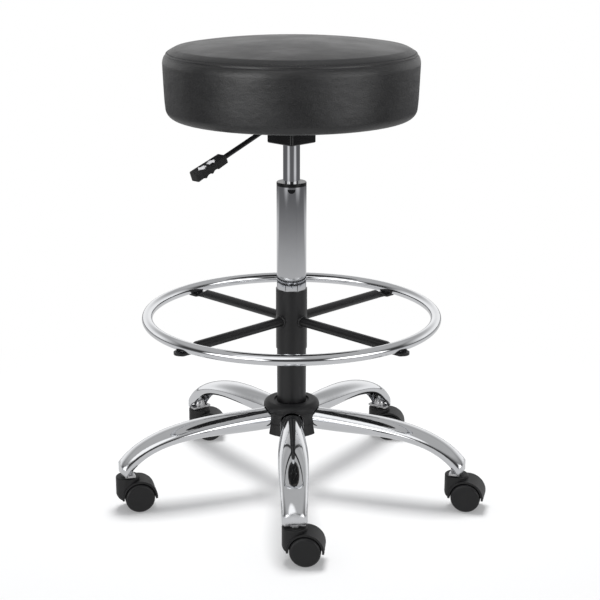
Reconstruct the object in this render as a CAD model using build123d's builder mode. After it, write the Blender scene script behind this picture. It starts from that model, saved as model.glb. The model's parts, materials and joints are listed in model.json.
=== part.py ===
"""Drafting stool: round padded seat on a gas lift, foot ring on spokes, five-leg base on twin-wheel casters.

Millimetres, +Z up. The origin lies on the floor on the column's axis, and the front leg points to -Y.
"""
import os
from math import cos, radians, sin, sqrt

from build123d import *

os.makedirs("parts", exist_ok=True)

# Clearances
running_gap = 0.05
seat_gap = 0.1
pass_gap = 0.3

# Caster
wheel_radius = 25.0
wheel_width = 16.5
wheel_edge = 4.5
wheel_rim = 4.5
wheel_hub_radius = 9.0
wheel_dish = 10.0
wheel_side_gap = 0.5
wheel_room = 1.5
axle_radius = 3.0
axle_grip = 12.5
web_width = 14.0
web_boss_radius = 8.0
hood_wall = 3.5
hood_width = 42.0
hood_edge = 2.0
post_radius = 20.0
post_rise = 35.0
skirt_rise = 13.0
skirt_bulge = 4.0
tail_drop = 2.5
caster_trail = 18.0
stem_radius = 5.5
stem_depth = 24.0
stem_collar_radius = 8.0
stem_collar_height = 2.2
stem_tip_radius = 3.5
stem_tip = 6.0
caster_yaws = (-5.0, -14.0, -6.0, 3.0, 14.0)

# Five-leg base
leg_count = 5
base_turn = 0.9
core_radius = 33.0
leg_diameter = 38.0
leg_wall = 2.5
leg_slope = 3.0
leg_neck = 30.0
leg_straight = 162.0
leg_bend_radius = 130.0
leg_bend_angle = 54.0
leg_end_run = 5.4
leg_swell_width = 50.0
leg_swell_height = 29.0
leg_end_width = 42.0
leg_end_height = 26.0
leg_end_cut = 20.0
leg_tip_reach = 13.0
leg_tip_round = 16.0
channel_rise_share = 0.25
channel_full_share = 0.667
channel_rise_drop = 8.7
stem_inset = 7.0
socket_plate = 3.5
bell_radius = 10.0
bell_neck_radius = 7.5
bell_height = 11.0
hub_wall = 3.0
hub_radius = 48.0
hub_rim = 13.0
hub_step = 3.0
hub_neck_radius = 46.0
hub_foot_radius = 52.0
hub_foot_edge = 2.5
hub_below_axis = 24.0
hub_above_axis = 29.5
hub_shoulder = 9.0
hub_recess = 2.5
hub_recess_width = 5.0
leg_slot_gap = 1.0
hub_seam_depth = 0.8
hub_seam_height = 1.0
hub_seam_drop = 5.0

# Column
tube_radius = 25.0
taper = 0.025
extension_wall = 2.5
extension_show = 94.0
extension_foot = 5.0
extension_in_socket = 20.0
ring_socket_radius = 26.5
ring_socket_height = 105.0
ring_socket_stop = 4.0
stand_wall = 1.8
stand_show = 177.4
stand_in_socket = 76.0
stand_floor = 3.0
bush_flange = 6.0
bush_length = 70.0
lug_radius = 6.5
lug_below_top = 3.4
piston_show = 65.1
pressure_tube_radius = 14.0
pressure_tube_wall = 2.0
lift_down = 55.0
lift_up = 85.0
rod_radius = 5.0
rod_neck_radius = 4.0
rod_foot = 8.0
rod_guide_length = 20.0
piston_length = 12.0
piston_spare = 4.0
washer_radius = 14.0
washer_thickness = 1.6
ball_radius = 1.6
ball_count = 10
ball_circle = 9.5
bump_radius = 10.0
bump_height = 10.0
clip_radius = 8.0
clip_thickness = 1.5

# Foot ring
ring_radius = 245.0
ring_tube_radius = 9.0
ring_tube_wall = 1.5
spoke_count = 4
spoke_azimuth = 45.0
spoke_radius = 8.0
spoke_wall = 1.5
spoke_height = 50.6
spoke_press = 17.0
tab_width = 25.0
tab_thickness = 4.0
tab_overhang = 15.0
tab_below_axis = 2.0
ring_screw_radius = 3.0
ring_screw_head = 6.0
ring_screw_head_height = 3.5
ring_screw_grip = 8.0

# Lift mechanism and lever
lever_azimuth = 225.0
housing_width = 59.0
housing_height = 41.5
housing_wall = 2.5
housing_corner = 5.0
housing_edge = 2.2
plate_width = 150.0
plate_thickness = 3.0
plate_corner = 12.0
seat_screw_pitch = 115.0
seat_screw_radius = 3.0
seat_screw_head = 5.5
seat_screw_head_height = 4.0
sleeve_radius = 18.0
sleeve_height = 18.0
tube_above_floor = 25.5
valve_length = 40.0
valve_pin_radius = 4.0
valve_pin_rise = 5.7
lever_radius = 4.0
lever_flat = 4.0
lever_pivot_reach = 20.0
lever_tip_reach = 7.0
lever_knee_reach = 46.0
lever_knee_round = 18.0
lever_droop = 20.5
lever_run = 113.0
lever_side_gap = 0.5
pivot_radius = 2.5
pivot_head = 4.0
pivot_head_height = 1.5
handle_length = 66.0
handle_neck = 18.0
handle_width = 25.0
handle_thickness = 13.0
handle_corner = 7.0
handle_edge = 1.5
handle_grip = 20.0
scallop_radius = 9.0
scallop_depth = 2.5
scallop_count = 3
scallop_pitch = 15.0

# Seat
seat_radius = 209.5
seat_foot_radius = 204.5
seat_height = 124.0
crown_rise = 16.0
shoulder_round = 22.0
foot_round = 16.0
seam_angle = 33.0
seam_groove = 1.1
cover_thickness = 1.6
cover_gap = 0.2
board_edge = 16.5
hem_width = 23.0
board_thickness = 12.0
dust_thickness = 0.8
t_nut_flange = 9.5
t_nut_flange_height = 1.5
t_nut_radius = 4.2

# Heights and radii that follow from the sizes, from the floor up
axle_z = wheel_radius
well_radius = wheel_radius + wheel_room
fender_radius = well_radius + hood_wall
post_top_z = axle_z + post_rise
stem_collar_z = post_top_z + pass_gap
leg_end_z = stem_collar_z + stem_collar_height
leg_bend_length = leg_bend_radius * radians(leg_bend_angle)
leg_end_tilt = radians(leg_slope + leg_bend_angle)
leg_drop = (
    leg_straight * sin(radians(leg_slope))
    + leg_bend_radius * (cos(radians(leg_slope)) - cos(leg_end_tilt))
    + leg_end_run * sin(leg_end_tilt)
)
leg_root_z = leg_end_z + leg_drop
hub_bottom_z = leg_root_z - hub_below_axis
hub_top_z = leg_root_z + hub_above_axis
core_top_z = hub_top_z - hub_recess - hub_wall
extension_bottom_z = hub_bottom_z - extension_foot
socket_bottom_z = hub_top_z + extension_show
socket_top_z = socket_bottom_z + ring_socket_height
extension_top_z = socket_bottom_z + extension_in_socket
stand_bottom_z = socket_top_z - stand_in_socket
stand_top_z = socket_top_z + stand_show
flange_top_z = stand_top_z + bush_flange
spoke_z = socket_bottom_z + spoke_height
tab_top_z = spoke_z - tab_below_axis
ring_z = tab_top_z + ring_tube_radius
bearing_z = stand_bottom_z + stand_floor
ball_z = bearing_z + washer_thickness + ball_radius
upper_washer_z = ball_z + ball_radius + running_gap
shoulder_z = upper_washer_z + washer_thickness
bump_top_z = shoulder_z + bump_height
tube_bottom_z = bump_top_z + pass_gap + lift_down
piston_z = tube_bottom_z + lift_up + rod_guide_length + piston_spare
housing_z = flange_top_z + piston_show
tube_top_z = housing_z + tube_above_floor
pin_top_z = tube_top_z + valve_pin_rise
lever_z = pin_top_z + pass_gap + lever_flat / 2
plate_z = housing_z + housing_height
dust_z = plate_z + plate_thickness
board_z = dust_z + dust_thickness
board_top_z = board_z + board_thickness
seat_bottom_z = board_z - cover_gap - cover_thickness
seat_top_z = seat_bottom_z + seat_height
tube_bore = pressure_tube_radius - pressure_tube_wall
board_radius = seat_foot_radius - board_edge
hem_radius = board_radius - hem_width


def write(piece, name):
    """Label a finished piece and write it as one file."""
    piece.label = name
    export_step(piece, f"parts/{name}.step")


def turned(*outline):
    """Turn a closed outline of (radius, height) points about the column's axis."""
    with BuildSketch(Plane.XZ) as profile:
        with BuildLine():
            Polyline(*outline, close=True)
        make_face()
    revolve(profile.sketch, axis=Axis.Z)


def plate(height, thickness, radius, mode=Mode.ADD):
    """Round plate or, subtracted, a round hole about the column's axis."""
    with BuildSketch(Plane.XY.offset(height)) as disc:
        Circle(radius)
    extrude(disc.sketch, amount=thickness, mode=mode)


# Padded seat
def seat_form(inset, mode=Mode.ADD):
    """Solid of the padded seat drawn in by inset: flat foot, side that draws in, crowned top."""
    crown_radius = (seat_radius**2 + crown_rise**2) / (2 * crown_rise)
    crown_centre = seat_top_z - crown_radius
    side = seat_radius - inset
    foot = seat_foot_radius - inset
    ball = crown_radius - inset
    corner_z = crown_centre + sqrt(ball**2 - side**2)
    middle = (side / 2, crown_centre + sqrt(ball**2 - (side / 2) ** 2))
    low = seat_bottom_z + inset
    with BuildSketch(Plane.XZ) as profile:
        with BuildLine():
            Polyline((0, seat_top_z - inset), (0, low), (foot, low), (side, corner_z))
            ThreePointArc((side, corner_z), middle, (0, seat_top_z - inset))
        make_face()
        rim = profile.vertices().filter_by(lambda v: v.X > hem_radius).sort_by(Axis.Y)
        fillet(rim[-1], shoulder_round - inset)
        rim = profile.vertices().filter_by(lambda v: v.X > hem_radius).sort_by(Axis.Y)
        fillet(rim[0], foot_round - inset)
    revolve(profile.sketch, axis=Axis.Z, mode=mode)


def seam_spot():
    """Point (radius, height) of the seam on the rounded shoulder of the seat."""
    crown_radius = (seat_radius**2 + crown_rise**2) / (2 * crown_rise)
    centre_radius = seat_radius - shoulder_round
    centre_z = seat_top_z - crown_radius + sqrt((crown_radius - shoulder_round) ** 2 - centre_radius**2)
    angle = radians(seam_angle)
    return centre_radius + shoulder_round * cos(angle), centre_z + shoulder_round * sin(angle)


with BuildPart() as seat_cover:
    seat_form(0)
    seat_form(cover_thickness, Mode.SUBTRACT)
    plate(seat_bottom_z, 2 * cover_thickness, hem_radius, Mode.SUBTRACT)
    with BuildSketch(Plane.XZ):
        with Locations(seam_spot()):
            Circle(seam_groove)
    revolve(axis=Axis.Z, mode=Mode.SUBTRACT)
write(seat_cover.part, "seat_cover")

with BuildPart() as seat_foam:
    seat_form(cover_thickness + cover_gap)
    plate(seat_bottom_z, board_top_z - seat_bottom_z, board_radius + seat_gap, Mode.SUBTRACT)
write(seat_foam.part, "seat_foam")

lever_frame = Plane.XY.rotated((0, 0, lever_azimuth))

with BuildPart() as seat_board:
    plate(board_z, board_thickness, board_radius)
    with BuildSketch(lever_frame.offset(board_z)):
        with GridLocations(seat_screw_pitch, seat_screw_pitch, 2, 2):
            Circle(t_nut_radius + seat_gap)
    extrude(amount=board_thickness, mode=Mode.SUBTRACT)
    with BuildSketch(lever_frame.offset(board_top_z)):
        with GridLocations(seat_screw_pitch, seat_screw_pitch, 2, 2):
            Circle(t_nut_flange + seat_gap)
    extrude(amount=-t_nut_flange_height, mode=Mode.SUBTRACT)
write(seat_board.part, "seat_board")

with BuildPart() as dust_cover:
    plate(dust_z, dust_thickness, hem_radius - seat_gap)
    with BuildSketch(lever_frame.offset(dust_z)):
        with GridLocations(seat_screw_pitch, seat_screw_pitch, 2, 2):
            Circle(t_nut_radius)
    extrude(amount=dust_thickness, mode=Mode.SUBTRACT)
write(dust_cover.part, "dust_cover")

with BuildPart() as seat_t_nuts:
    with BuildSketch(lever_frame.offset(board_top_z)):
        with GridLocations(seat_screw_pitch, seat_screw_pitch, 2, 2):
            Circle(t_nut_flange)
    extrude(amount=-t_nut_flange_height)
    with BuildSketch(lever_frame.offset(board_top_z)):
        with GridLocations(seat_screw_pitch, seat_screw_pitch, 2, 2):
            Circle(t_nut_radius)
    extrude(amount=-board_thickness)
    with BuildSketch(lever_frame.offset(board_top_z)):
        with GridLocations(seat_screw_pitch, seat_screw_pitch, 2, 2):
            Circle(seat_screw_radius + seat_gap)
    extrude(amount=-board_thickness, mode=Mode.SUBTRACT)
write(seat_t_nuts.part, "seat_t_nuts")

with BuildPart() as seat_screws:
    with BuildSketch(lever_frame.offset(plate_z)):
        with GridLocations(seat_screw_pitch, seat_screw_pitch, 2, 2):
            RegularPolygon(seat_screw_head, 6)
    extrude(amount=-seat_screw_head_height)
    with BuildSketch(lever_frame.offset(plate_z)):
        with GridLocations(seat_screw_pitch, seat_screw_pitch, 2, 2):
            Circle(seat_screw_radius)
    extrude(amount=board_top_z - t_nut_flange_height - plate_z)
write(seat_screws.part, "seat_screws")

# Lift mechanism
with BuildPart() as mechanism_plate:
    with BuildSketch(lever_frame.offset(plate_z)):
        RectangleRounded(plate_width, plate_width, plate_corner)
        with GridLocations(seat_screw_pitch, seat_screw_pitch, 2, 2):
            Circle(seat_screw_radius + seat_gap, mode=Mode.SUBTRACT)
    extrude(amount=plate_thickness)
write(mechanism_plate.part, "mechanism_plate")

lever_slot = 2 * (lever_radius + lever_side_gap)
pivot_plane = Plane(
    origin=lever_frame.from_local_coords((lever_pivot_reach, 0, lever_z)),
    x_dir=lever_frame.x_dir,
    z_dir=lever_frame.y_dir,
)
with BuildPart() as mechanism_housing:
    with BuildSketch(lever_frame.offset(housing_z)):
        RectangleRounded(housing_width, housing_width, housing_corner)
    extrude(amount=housing_height)
    fillet(mechanism_housing.faces().sort_by(Axis.Z)[0].edges(), housing_edge)
    offset(amount=-housing_wall, openings=mechanism_housing.faces().sort_by(Axis.Z)[-1])
    plate(housing_z, housing_wall, pressure_tube_radius + seat_gap, Mode.SUBTRACT)
    with BuildSketch(lever_frame.offset(plate_z)):
        with Locations((housing_width / 2, 0)):
            Rectangle(4 * housing_wall, lever_slot)
    extrude(amount=-(plate_z - lever_z + lever_radius + pass_gap), mode=Mode.SUBTRACT)
    with BuildSketch(pivot_plane):
        Circle(pivot_radius + running_gap)
    extrude(amount=housing_width, both=True, mode=Mode.SUBTRACT)
write(mechanism_housing.part, "mechanism_housing")


def tube_taper(height):
    """Outer radius of the pressure tube, which tapers from the housing's floor upwards."""
    return pressure_tube_radius - taper * max(height - housing_z, 0)


sleeve_z = housing_z + housing_wall
sleeve_top_z = sleeve_z + sleeve_height
with BuildPart() as taper_sleeve:
    turned(
        (sleeve_radius, sleeve_z),
        (sleeve_radius, sleeve_top_z),
        (tube_taper(sleeve_top_z) + running_gap, sleeve_top_z),
        (tube_taper(sleeve_z) + running_gap, sleeve_z),
    )
write(taper_sleeve.part, "taper_sleeve")

with BuildPart() as lever_pivot_pin:
    with BuildSketch(pivot_plane):
        Circle(pivot_radius)
    extrude(amount=housing_width / 2 + pivot_head_height, both=True)
    for side in (1, -1):
        with BuildSketch(pivot_plane.offset(side * (housing_width / 2))):
            Circle(pivot_head)
        extrude(amount=side * pivot_head_height)
write(lever_pivot_pin.part, "lever_pivot_pin")

droop = radians(lever_droop)
handle_reach = lever_knee_reach + lever_run * cos(droop)
handle_z = lever_z - lever_run * sin(droop)
handle_plane = Plane(
    origin=lever_frame.from_local_coords((handle_reach, 0, handle_z)),
    x_dir=lever_frame.x_dir * cos(droop) - Vector(0, 0, sin(droop)),
    z_dir=lever_frame.x_dir * sin(droop) + Vector(0, 0, cos(droop)),
)
lever_side = Plane(origin=(0, 0, 0), x_dir=lever_frame.x_dir, z_dir=-lever_frame.y_dir)
rod_end_reach = handle_reach + handle_grip * cos(droop)
rod_end_z = handle_z - handle_grip * sin(droop)
with BuildPart() as lever_rod:
    with BuildLine(lever_side) as lever_path:
        FilletPolyline(
            (-lever_tip_reach, lever_z),
            (lever_knee_reach, lever_z),
            (rod_end_reach, rod_end_z),
            radius=lever_knee_round,
        )
    with BuildSketch(Plane(lever_path.line @ 0, x_dir=lever_frame.y_dir, z_dir=lever_path.line % 0)):
        Circle(lever_radius)
    sweep()
    flat_length = lever_tip_reach + lever_pivot_reach - pivot_radius - 2 * pass_gap
    for side in (1, -1):
        with BuildSketch(lever_frame.offset(lever_z + side * lever_flat / 2)):
            with Locations((-lever_tip_reach + flat_length / 2, 0)):
                Rectangle(flat_length, 4 * lever_radius)
        extrude(amount=side * lever_radius, mode=Mode.SUBTRACT)
    with BuildSketch(pivot_plane):
        Circle(pivot_radius + running_gap)
    extrude(amount=2 * lever_radius, both=True, mode=Mode.SUBTRACT)
write(lever_rod.part, "lever_rod")

with BuildPart() as lever_handle:
    with BuildSketch(handle_plane.offset(-handle_thickness / 2)) as paddle:
        with BuildLine():
            Polyline(
                (0, -handle_neck / 2),
                (handle_length, -handle_width / 2),
                (handle_length, handle_width / 2),
                (0, handle_neck / 2),
                close=True,
            )
        make_face()
        fillet(paddle.vertices().sort_by(Axis.X)[-2:], handle_corner)
    extrude(amount=handle_thickness)
    underside = -handle_thickness / 2 - scallop_radius + scallop_depth
    for step in range(scallop_count):
        reach = handle_length - handle_corner - step * scallop_pitch
        groove = Plane(
            origin=handle_plane.from_local_coords((reach, 0, underside)),
            x_dir=handle_plane.x_dir,
            z_dir=handle_plane.y_dir,
        )
        with BuildSketch(groove):
            Circle(scallop_radius)
        extrude(amount=handle_width, both=True, mode=Mode.SUBTRACT)
    fillet(lever_handle.faces().sort_by(Axis.Z)[-1].edges(), handle_edge)
    bore = Plane(origin=handle_plane.origin, x_dir=handle_plane.y_dir, z_dir=handle_plane.x_dir)
    with BuildSketch(bore):
        Circle(lever_radius)
    extrude(amount=handle_grip, mode=Mode.SUBTRACT)
write(lever_handle.part, "lever_handle")

# Gas lift
with BuildPart() as pressure_tube:
    turned(
        (tube_bore, tube_bottom_z),
        (pressure_tube_radius, tube_bottom_z),
        (pressure_tube_radius, housing_z),
        (tube_taper(tube_top_z), tube_top_z),
        (tube_bore, tube_top_z),
    )
write(pressure_tube.part, "pressure_tube")

with BuildPart() as valve_body:
    plate(tube_top_z, -valve_length, tube_bore - running_gap)
    plate(tube_top_z, -valve_length, valve_pin_radius + running_gap, Mode.SUBTRACT)
write(valve_body.part, "valve_body")

with BuildPart() as valve_pin:
    plate(pin_top_z, tube_top_z - valve_length - pin_top_z, valve_pin_radius)
    chamfer(valve_pin.edges().sort_by(Axis.Z)[-1], valve_pin_radius / 4)
write(valve_pin.part, "valve_pin")

with BuildPart() as rod_guide:
    plate(tube_bottom_z, rod_guide_length, tube_bore - running_gap)
    plate(tube_bottom_z, rod_guide_length, rod_radius + running_gap, Mode.SUBTRACT)
write(rod_guide.part, "rod_guide")

with BuildPart() as piston_rod:
    turned(
        (0, stand_bottom_z - rod_foot),
        (rod_neck_radius, stand_bottom_z - rod_foot),
        (rod_neck_radius, shoulder_z),
        (rod_radius, shoulder_z),
        (rod_radius, piston_z),
        (0, piston_z),
    )
write(piston_rod.part, "piston_rod")

with BuildPart() as gas_piston:
    plate(piston_z, piston_length, tube_bore - running_gap)
    with BuildSketch(Plane.XZ):
        with Locations((tube_bore, piston_z + piston_length / 2)):
            Circle(piston_length / 8)
    revolve(axis=Axis.Z, mode=Mode.SUBTRACT)
write(gas_piston.part, "gas_piston")

with BuildPart() as bump_stop:
    plate(shoulder_z, bump_height, bump_radius)
    plate(shoulder_z, bump_height, rod_radius + running_gap, Mode.SUBTRACT)
    fillet(bump_stop.faces().sort_by(Axis.Z)[-1].edges().sort_by(SortBy.LENGTH)[-1], bump_height / 4)
write(bump_stop.part, "bump_stop")

for name, height in (("bearing_washer_lower", bearing_z), ("bearing_washer_upper", upper_washer_z)):
    with BuildPart() as washer:
        plate(height, washer_thickness, washer_radius)
        plate(height, washer_thickness, rod_neck_radius + running_gap, Mode.SUBTRACT)
    write(washer.part, name)

with BuildPart(Plane.XY.offset(ball_z)) as bearing_balls:
    with PolarLocations(ball_circle, ball_count):
        Sphere(ball_radius)
write(bearing_balls.part, "bearing_balls")

clip_z = stand_bottom_z - pass_gap - clip_thickness
with BuildPart() as rod_clip:
    plate(clip_z, clip_thickness, clip_radius)
    plate(clip_z, clip_thickness, rod_neck_radius, Mode.SUBTRACT)
    with BuildSketch(Plane.XY.offset(clip_z)):
        with Locations((clip_radius, 0)):
            Rectangle(2 * clip_radius, rod_neck_radius)
    extrude(amount=clip_thickness, mode=Mode.SUBTRACT)
write(rod_clip.part, "rod_clip")


def lug_shape(grow):
    """Half-round lug on the front of the stand tube, flat side up."""
    with BuildSketch(Plane.XZ.offset(tube_radius - stand_wall - seat_gap - running_gap)) as lug:
        with Locations((0, stand_top_z - lug_below_top)):
            Circle(lug_radius + grow)
            with Locations((0, lug_radius + 2 * grow)):
                Rectangle(4 * lug_radius, 2 * (lug_radius + grow), mode=Mode.SUBTRACT)
    return lug.sketch


stand_foot_radius = tube_radius - taper * stand_in_socket
with BuildPart() as stand_tube:
    turned(
        (rod_neck_radius + running_gap, stand_bottom_z),
        (stand_foot_radius, stand_bottom_z),
        (tube_radius, socket_top_z),
        (tube_radius, stand_top_z),
        (tube_radius - stand_wall, stand_top_z),
        (tube_radius - stand_wall, socket_top_z),
        (stand_foot_radius - stand_wall, bearing_z),
        (rod_neck_radius + running_gap, bearing_z),
    )
    extrude(lug_shape(seat_gap), amount=2 * stand_wall, mode=Mode.SUBTRACT)
write(stand_tube.part, "stand_tube")

bush_body_radius = tube_radius - stand_wall - running_gap
with BuildPart() as guide_bush:
    plate(stand_top_z, bush_flange, tube_radius)
    fillet(guide_bush.edges(), bush_flange / 6)
    plate(stand_top_z, -bush_length, bush_body_radius)
    extrude(lug_shape(0), amount=stand_wall)
    plate(flange_top_z, -bush_flange - bush_length, pressure_tube_radius + running_gap, Mode.SUBTRACT)
write(guide_bush.part, "guide_bush")

# Extension tube and the socket tube that carries the foot ring
extension_foot_radius = tube_radius - taper * (core_top_z - extension_bottom_z)
with BuildPart() as extension_tube:
    turned(
        (extension_foot_radius - extension_wall, extension_bottom_z),
        (extension_foot_radius, extension_bottom_z),
        (tube_radius, core_top_z),
        (tube_radius, extension_top_z),
        (tube_radius - extension_wall, extension_top_z),
        (tube_radius - extension_wall, core_top_z),
    )
write(extension_tube.part, "extension_tube")

with BuildPart() as footring_socket:
    turned(
        (tube_radius + running_gap, socket_bottom_z),
        (ring_socket_radius - running_gap, socket_bottom_z),
        (ring_socket_radius, socket_bottom_z + ring_socket_stop),
        (ring_socket_radius, socket_top_z),
        (tube_radius + running_gap, socket_top_z),
        (stand_foot_radius + running_gap, stand_bottom_z),
        (stand_foot_radius - ring_socket_stop, stand_bottom_z),
        (stand_foot_radius - ring_socket_stop, extension_top_z),
        (tube_radius + running_gap, extension_top_z),
    )
write(footring_socket.part, "footring_socket")

# Foot ring on its spokes
spoke_end = ring_radius + tab_overhang
tab_middle_z = tab_top_z - tab_thickness / 2
press_start = ring_radius - tab_width / 2 - spoke_press
press_end = press_start + spoke_press


def spoke_plane(reach, height):
    """Plane across the first spoke at the given reach from the column's axis."""
    return Plane(origin=(reach, 0, height), x_dir=(0, 1, 0), z_dir=(1, 0, 0))


with BuildPart() as spoke:
    with BuildSketch(spoke_plane(0, spoke_z)):
        Circle(spoke_radius)
    extrude(amount=press_start)
    with BuildSketch(spoke_plane(press_start, spoke_z)):
        Ellipse(spoke_radius, spoke_radius)
    with BuildSketch(spoke_plane(press_end, tab_middle_z)):
        Ellipse(tab_width / 2, tab_thickness / 2)
    loft()
    with BuildSketch(Plane.XY.offset(tab_middle_z - tab_thickness / 2)):
        with Locations((spoke_end, 0)):
            SlotOverall(spoke_end - press_end + tab_width / 2, tab_width, align=(Align.MAX, Align.CENTER))
        with Locations((press_end - tab_width, 0)):
            Rectangle(2 * tab_width, 2 * tab_width, mode=Mode.SUBTRACT)
    extrude(amount=tab_thickness)
    with BuildSketch(Plane.XY.offset(tab_top_z)):
        with Locations((ring_radius, 0)):
            Circle(ring_screw_radius + seat_gap)
    extrude(amount=-tab_thickness, mode=Mode.SUBTRACT)
    with BuildSketch(spoke_plane(0, spoke_z)):
        Circle(spoke_radius - spoke_wall)
    extrude(amount=press_start, mode=Mode.SUBTRACT)
    plate(socket_bottom_z, ring_socket_height, ring_socket_radius, Mode.SUBTRACT)

with BuildPart() as footring_spokes:
    with PolarLocations(0, spoke_count, start_angle=spoke_azimuth):
        add(spoke.part)
write(footring_spokes.part, "footring_spokes")

with BuildPart() as footring:
    with BuildSketch(Plane.XZ):
        with Locations((ring_radius, ring_z)):
            Circle(ring_tube_radius)
            Circle(ring_tube_radius - ring_tube_wall, mode=Mode.SUBTRACT)
    revolve(axis=Axis.Z)
    with BuildSketch(Plane.XY.offset(tab_top_z)):
        with PolarLocations(ring_radius, spoke_count, start_angle=spoke_azimuth):
            Circle(ring_screw_radius + seat_gap)
    extrude(amount=ring_tube_radius, mode=Mode.SUBTRACT)
write(footring.part, "footring")

with BuildPart() as footring_screws:
    with BuildSketch(Plane.XY.offset(tab_top_z - tab_thickness)):
        with PolarLocations(ring_radius, spoke_count, start_angle=spoke_azimuth):
            Circle(ring_screw_head)
    extrude(amount=-ring_screw_head_height)
    fillet(footring_screws.edges().group_by(Axis.Z)[0], ring_screw_head_height / 2)
    with BuildSketch(Plane.XY.offset(tab_top_z - tab_thickness)):
        with PolarLocations(ring_radius, spoke_count, start_angle=spoke_azimuth):
            Circle(ring_screw_radius)
    extrude(amount=ring_screw_grip)
write(footring_screws.part, "footring_screws")

# Base core, hub cover and legs
leg_angles = [base_turn - 90 + n * 360 / leg_count for n in range(leg_count)]

with BuildPart() as base_core:
    turned(
        (core_radius, hub_bottom_z),
        (core_radius, core_top_z),
        (tube_radius + running_gap, core_top_z),
        (extension_foot_radius + taper * extension_foot + running_gap, hub_bottom_z),
    )
write(base_core.part, "base_core")

slot_radius = leg_diameter / 2 + leg_slot_gap
hub_neck_z = hub_top_z - hub_rim - hub_step
hub_seam_z = leg_root_z - hub_seam_drop
hub_flare = (hub_foot_radius - hub_neck_radius) / (hub_neck_z - hub_bottom_z)
hub_seam_radius = hub_neck_radius + hub_flare * (hub_neck_z - hub_seam_z) - hub_seam_depth

with BuildPart() as hub_cover:
    with BuildSketch(Plane.XZ) as hub_profile:
        with BuildLine():
            Polyline(
                (tube_radius + pass_gap, hub_top_z - hub_recess),
                (tube_radius + hub_recess_width, hub_top_z - hub_recess),
                (tube_radius + hub_recess_width, hub_top_z),
                (hub_radius, hub_top_z),
                (hub_radius, hub_top_z - hub_rim),
                (hub_neck_radius, hub_neck_z),
                (hub_foot_radius, hub_bottom_z),
                (hub_foot_radius - hub_wall, hub_bottom_z),
                (hub_neck_radius - hub_wall, hub_neck_z),
                (hub_neck_radius - hub_wall, core_top_z),
                (tube_radius + pass_gap, core_top_z),
                close=True,
            )
        make_face()
        outer = hub_profile.vertices().group_by(Axis.Y)[-1].sort_by(Axis.X)
        fillet(outer[-1], hub_shoulder)
        outer = hub_profile.vertices().group_by(Axis.Y)[0].sort_by(Axis.X)
        fillet(outer[-1], hub_foot_edge)
    revolve(axis=Axis.Z)
    with BuildSketch(Plane.XY.offset(hub_seam_z)):
        Circle(2 * hub_foot_radius)
        Circle(hub_seam_radius, mode=Mode.SUBTRACT)
    extrude(amount=hub_seam_height, mode=Mode.SUBTRACT)
    for angle in leg_angles:
        across = Plane(
            origin=(0, 0, leg_root_z),
            x_dir=(-sin(radians(angle)), cos(radians(angle)), 0),
            z_dir=(cos(radians(angle)), sin(radians(angle)), 0),
        )
        with BuildSketch(across):
            Circle(slot_radius)
            Rectangle(2 * slot_radius, 2 * slot_radius, align=(Align.CENTER, Align.MAX))
        extrude(amount=2 * hub_foot_radius, mode=Mode.SUBTRACT)
write(hub_cover.part, "hub_cover")


def leg_plane(distance):
    """Plane across the leg's axis: a straight run, an arc that turns down, then straight again."""
    slope = radians(leg_slope)
    run = min(distance, leg_straight)
    bend = min(max(distance - leg_straight, 0), leg_bend_length)
    tail = max(distance - leg_straight - leg_bend_length, 0)
    tilt = slope + bend / leg_bend_radius
    reach = core_radius + run * cos(slope) + leg_bend_radius * (sin(tilt) - sin(slope)) + tail * cos(tilt)
    fall = run * sin(slope) + leg_bend_radius * (cos(slope) - cos(tilt)) + tail * sin(tilt)
    return Plane(
        origin=(reach, 0, leg_root_z - fall),
        x_dir=(0, 1, 0),
        z_dir=(cos(tilt), 0, -sin(tilt)),
    )


def leg_section(distance, width, height, lift=0.0):
    """Oval section across the leg, lifted from its axis."""
    with BuildSketch(leg_plane(distance)) as section:
        with Locations((0, lift)):
            Ellipse(width / 2, height / 2)
    return section.sketch


def leg_tube(inset, distances, mode):
    """Leg drawn in by inset: round at the root, wide and low where it bends, narrower at its end."""
    sizes = (
        (leg_diameter, leg_diameter),
        (leg_diameter, leg_diameter),
        (leg_swell_width, leg_swell_height),
        ((leg_swell_width + leg_end_width) / 2, leg_end_height),
        (leg_end_width, leg_end_height),
    )
    sections = [
        leg_section(distance, width - 2 * inset, height - 2 * inset)
        for distance, (width, height) in zip(distances, sizes)
    ]
    loft(sections, mode=mode)


leg_end = leg_straight + leg_bend_length + leg_end_run
stem_circle = leg_plane(leg_end).origin.X - stem_inset
leg_cut = Plane(
    origin=(stem_circle, 0, leg_end_z),
    x_dir=(cos(radians(leg_end_cut)), 0, sin(radians(leg_end_cut))),
    z_dir=(-sin(radians(leg_end_cut)), 0, cos(radians(leg_end_cut))),
)
leg_middle = leg_straight + leg_bend_length / 2
leg_spare_end = leg_end + leg_end_height
channel_start = leg_straight - leg_end_height
channel_height = 2 * leg_end_height
channel_width = leg_end_width - 2 * leg_wall
channel_low = -leg_swell_height / 2 - channel_height / 2 - leg_wall
channel_full = leg_end_height / 2 - leg_wall - channel_height / 2
channel_stops = (
    (channel_start, channel_low),
    (leg_straight + leg_bend_length * channel_rise_share, channel_full - channel_rise_drop),
    (leg_straight + leg_bend_length * channel_full_share, channel_full),
    (leg_spare_end, channel_full),
)


def leg_channel(inset, mode):
    """Hollow of the leg's open channel, drawn in by inset."""
    sections = [
        leg_section(distance, channel_width - 2 * inset, channel_height - 2 * inset, lift)
        for distance, lift in channel_stops
    ]
    loft(sections, mode=mode)


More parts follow.
